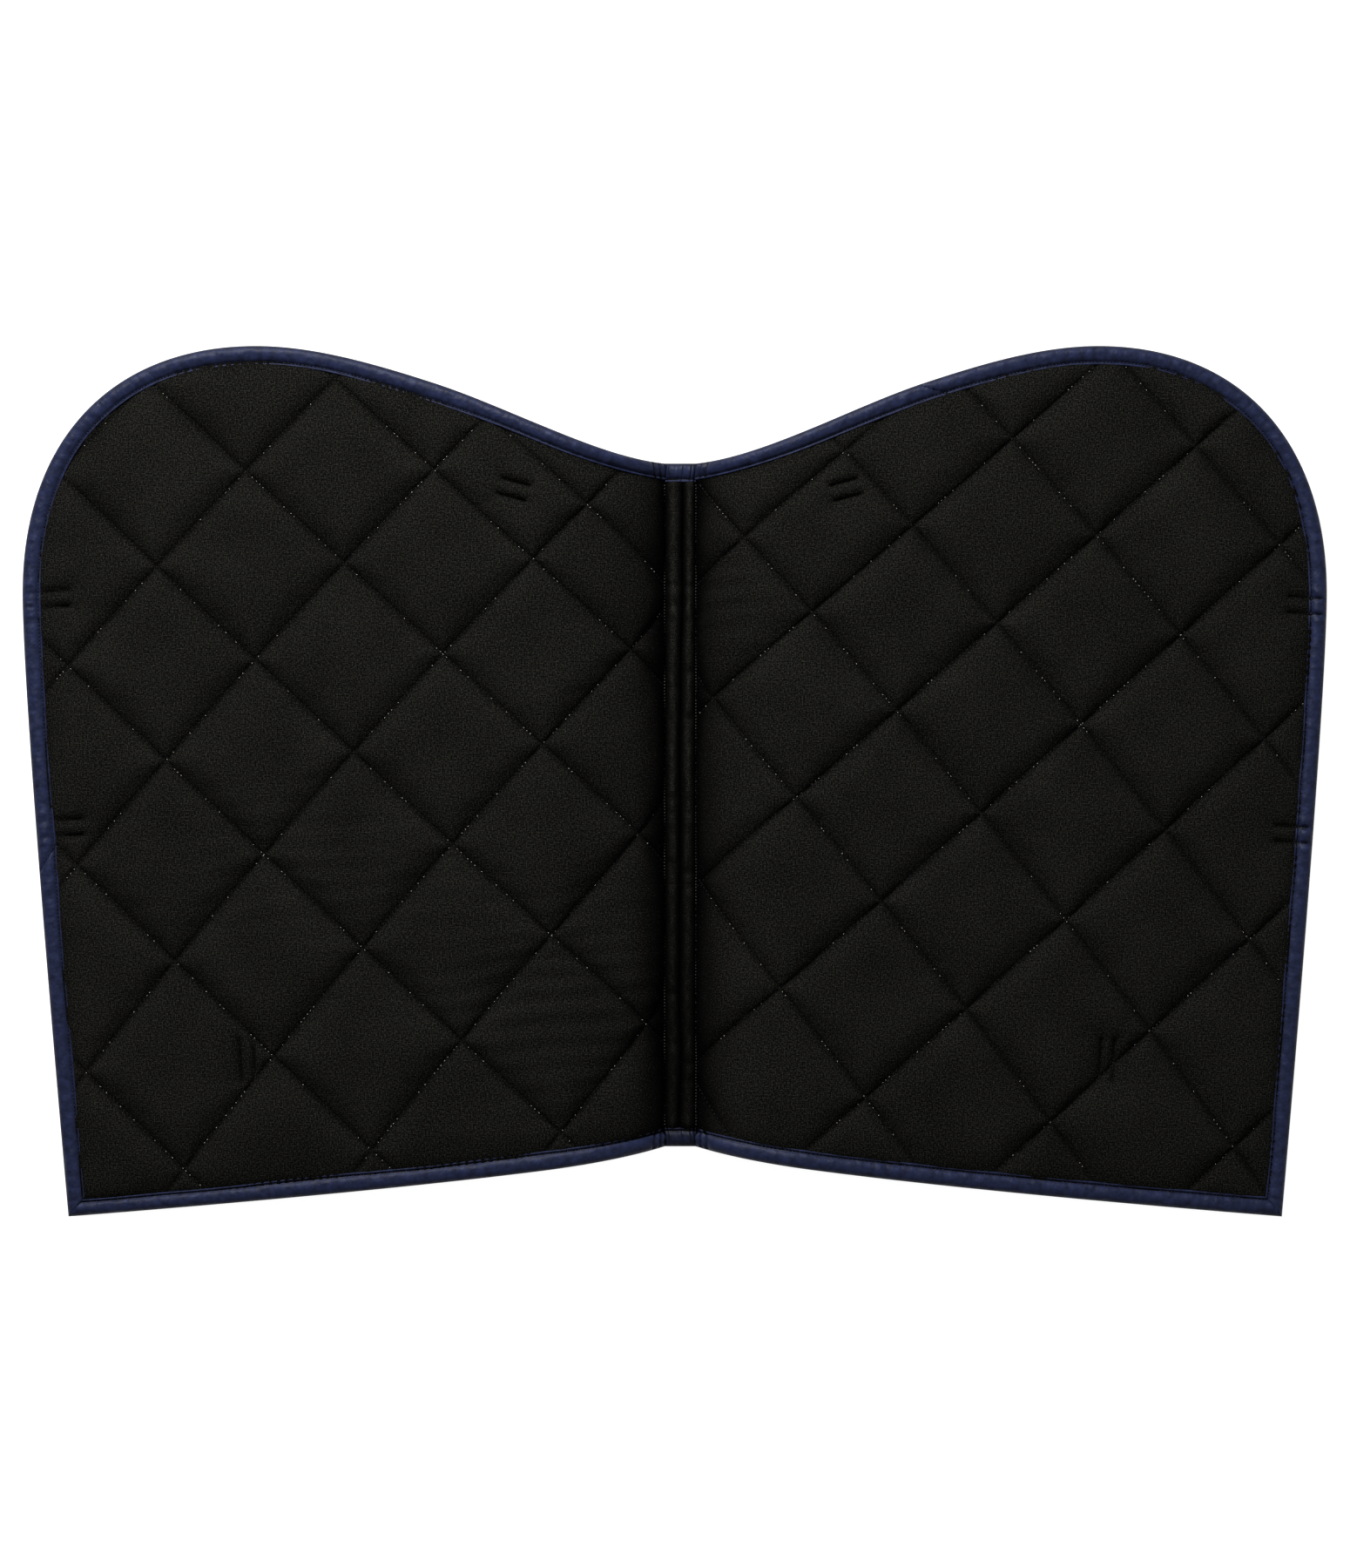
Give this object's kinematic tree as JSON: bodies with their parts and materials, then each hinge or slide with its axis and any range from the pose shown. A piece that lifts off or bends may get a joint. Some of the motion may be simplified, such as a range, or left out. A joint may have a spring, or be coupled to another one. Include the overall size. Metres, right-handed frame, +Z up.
{
  "type": "dressage saddle pad",
  "caption": "Quilted dressage saddle pad in two bound flaps joined along a spine; folds like a book and carries girth keepers and fastening tabs on its outer face.",
  "frame": {"origin": "on the ground under the middle of the pad's box, laid open with the lining up; the spine runs over it", "axes": "+Z up through the lining, +Y along the spine towards the withers, +X towards the right flap as seen from above"},
  "size_m": [1.165, 0.7785, 0.0478],
  "materials": {
    "lining_fabric": "soft black knit lining, quilted in large diamonds",
    "outer_fabric": "navy cotton twill shell, quilted",
    "wadding": "off-white polyester wadding",
    "binding_satin": "navy satin-weave binding tape",
    "webbing": "navy ribbed webbing",
    "hook_tape": "hook side of hook-and-loop tape",
    "loop_tape": "loop side of hook-and-loop tape",
    "badge": "plain dark patch"
  },
  "bodies": {
    "spine": {"spine_binding_front": "binding_satin", "spine_binding_rear": "binding_satin", "spine_lining_left": "lining_fabric", "spine_lining_right": "lining_fabric", "spine_shell_left": "outer_fabric", "spine_shell_right": "outer_fabric", "spine_tape": "binding_satin", "spine_wadding_left": "wadding", "spine_wadding_right": "wadding"},
    "left_inner": {"left_inner_binding_front": "binding_satin", "left_inner_binding_rear": "binding_satin", "left_inner_lining": "lining_fabric", "left_inner_shell": "outer_fabric", "left_inner_wadding": "wadding"},
    "left_outer": {"left_badge": "badge", "left_girth_keeper": "webbing", "left_outer_binding_front": "binding_satin", "left_outer_binding_rear": "binding_satin", "left_outer_binding_side": "binding_satin", "left_outer_lining": "lining_fabric", "left_outer_shell": "outer_fabric", "left_outer_wadding": "wadding", "left_tab_anchor": "webbing"},
    "left_tab": {"left_tab_loop_patch": "loop_tape", "left_tab_webbing": "webbing"},
    "left_tab_tip": {"left_tab_free_end": "webbing", "left_tab_hook_patch": "hook_tape"},
    "right_inner": {"right_inner_binding_front": "binding_satin", "right_inner_binding_rear": "binding_satin", "right_inner_lining": "lining_fabric", "right_inner_shell": "outer_fabric", "right_inner_wadding": "wadding"},
    "right_outer": {"right_badge": "badge", "right_girth_keeper": "webbing", "right_outer_binding_front": "binding_satin", "right_outer_binding_rear": "binding_satin", "right_outer_binding_side": "binding_satin", "right_outer_lining": "lining_fabric", "right_outer_shell": "outer_fabric", "right_outer_wadding": "wadding", "right_tab_anchor": "webbing"},
    "right_tab": {"right_tab_loop_patch": "loop_tape", "right_tab_webbing": "webbing"},
    "right_tab_tip": {"right_tab_free_end": "webbing", "right_tab_hook_patch": "hook_tape"}
  },
  "joints": [
    {"name": "left_fold", "type": "hinge", "parent": "spine", "child": "left_inner", "pos_m": [-0.014, 0, 0.006], "axis": [0, 1, 0], "range_deg": [0, 50]},
    {"name": "left_bend", "type": "hinge", "parent": "left_inner", "child": "left_outer", "pos_m": [-0.11836, 0, 0.04759], "axis": [0, 1, 0], "range_deg": [0, 46]},
    {"name": "left_tab_swing", "type": "hinge", "parent": "left_outer", "child": "left_tab", "pos_m": [-0.14865, 0.25227, 0.03128], "axis": [0.9646, -0.2589, 0.051], "range_deg": [-12.5, 137]},
    {"name": "left_tab_open", "type": "hinge", "parent": "left_tab", "child": "left_tab_tip", "pos_m": [-0.17496, 0.14895, 0.0042], "axis": [-0.9646, 0.2589, -0.051], "range_deg": [0, 160]},
    {"name": "right_fold", "type": "hinge", "parent": "spine", "child": "right_inner", "pos_m": [0.014, 0, 0.006], "axis": [0, -1, 0], "range_deg": [0, 50]},
    {"name": "right_bend", "type": "hinge", "parent": "right_inner", "child": "right_outer", "pos_m": [0.11836, 0, 0.04759], "axis": [0, -1, 0], "range_deg": [0, 46]},
    {"name": "right_tab_swing", "type": "hinge", "parent": "right_outer", "child": "right_tab", "pos_m": [0.14865, 0.25227, 0.03128], "axis": [0.9646, 0.2589, -0.051], "range_deg": [-12.5, 137]},
    {"name": "right_tab_open", "type": "hinge", "parent": "right_tab", "child": "right_tab_tip", "pos_m": [0.17496, 0.14895, 0.0042], "axis": [-0.9646, -0.2589, 0.051], "range_deg": [0, 160]}
  ],
  "couplings": [
    {"joint": "left_bend", "follows": "left_fold", "ratio": 0.92},
    {"joint": "right_bend", "follows": "right_fold", "ratio": 0.92}
  ]
}
